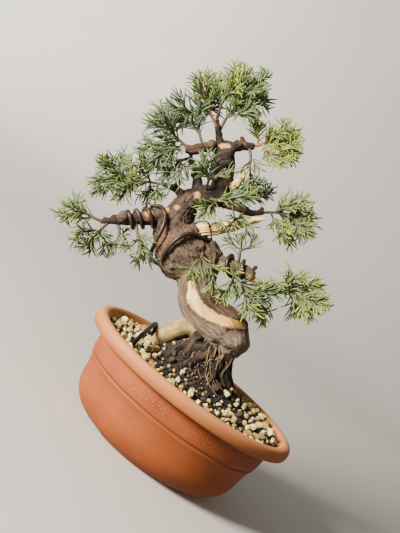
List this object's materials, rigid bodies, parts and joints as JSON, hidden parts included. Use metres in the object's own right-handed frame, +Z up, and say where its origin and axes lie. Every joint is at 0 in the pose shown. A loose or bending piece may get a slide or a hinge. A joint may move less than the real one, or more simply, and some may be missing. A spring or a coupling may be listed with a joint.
{
  "type": "potted bonsai tree",
  "caption": "Juniper bonsai with a curving trunk, bleached deadwood, coiled training wire and feathery green sprays, growing at a slant in an oval terracotta-coloured pot.",
  "frame": {"origin": "middle of the bounding box at its bottom, on the plane the pot's feet stand on", "axes": "+X to the viewer's right along the pot's long side, +Y away from the viewer, +Z up"},
  "size_m": [0.2872, 0.1682, 0.3216],
  "materials": {
    "terracotta": "matte",
    "soil": "rough",
    "screen": "matte",
    "anchor": "black, satin",
    "bark": "rough bark",
    "deadwood": "matte, weathered",
    "training_wire": "brown, satin",
    "hook": "dark, satin",
    "foliage": "soft"
  },
  "bodies": {
    "root": {"pot": "terracotta", "soil": "soil", "drain_screen_left": "screen", "drain_screen_right": "screen", "anchor_wire": "anchor", "trunk": "bark", "shari": "deadwood", "jin_right": "deadwood", "jin_upper": "deadwood", "wire_left": "training_wire", "wire_right": "training_wire", "hook_wire": "hook", "spray_apex_left": "foliage", "spray_apex_top": "foliage", "spray_apex_right": "foliage", "spray_upper_left": "foliage", "spray_left_fan": "foliage", "spray_left_tuft": "foliage", "spray_mid_left": "foliage", "spray_left_low_outer": "foliage", "spray_left_low_hanging": "foliage", "spray_left_low_stringy": "foliage", "spray_left_under": "foliage", "spray_centre_up": "foliage", "spray_centre_right": "foliage", "spray_right_back": "foliage", "spray_right_mid_front": "foliage", "spray_right_mid": "foliage", "spray_right_low_end": "foliage", "spray_right_low_mid": "foliage", "spray_front_hanging": "foliage", "spray_right_up": "foliage", "spray_top_right": "foliage", "spray_top_right_hanging": "foliage"}
  },
  "joints": []
}
